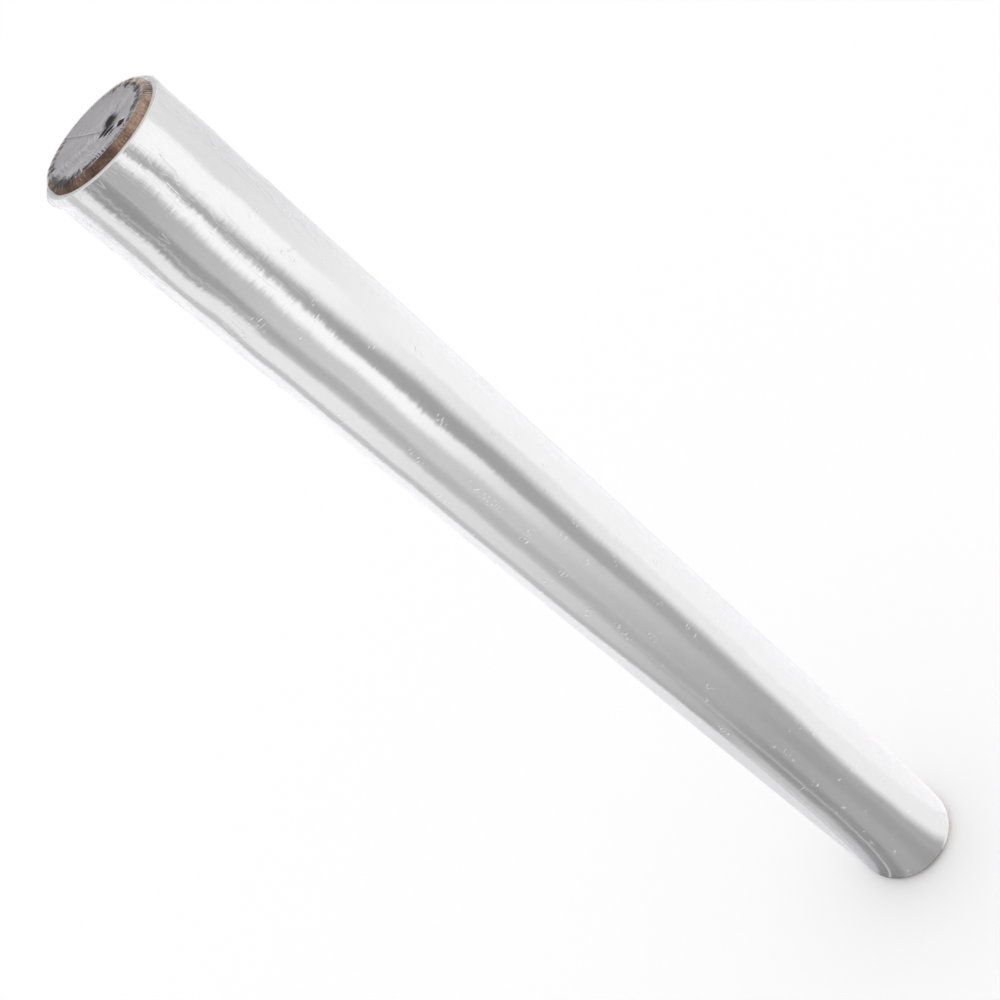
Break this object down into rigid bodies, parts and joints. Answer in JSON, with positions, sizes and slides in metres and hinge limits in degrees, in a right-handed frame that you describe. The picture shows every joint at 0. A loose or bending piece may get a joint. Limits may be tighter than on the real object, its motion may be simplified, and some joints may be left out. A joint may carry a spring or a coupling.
{
  "type": "roll of cellophane",
  "caption": "Long roll of clear cellophane film wound on a cardboard core and sealed in clear shrink wrap gathered over both ends.",
  "frame": {"origin": "centre of the flat end that the roll stands on", "axes": "+Z along the core, from the standing end to the end with the air hole in the wrap; X and Y are free, with the weld of the wrap 110 degrees round from +X"},
  "size_m": [0.0969, 0.0969, 1.0114],
  "materials": {
    "core_board": "matt brown kraft board, spiral wound",
    "clear_film": "glossy clear film that looks silvery white where it is wound",
    "shrink_film": "thin glossy clear film, taut, with gathers at the rims"
  },
  "bodies": {
    "root": {"core_tube": "core_board", "film_roll": "clear_film", "shrink_wrap": "shrink_film"}
  },
  "joints": []
}
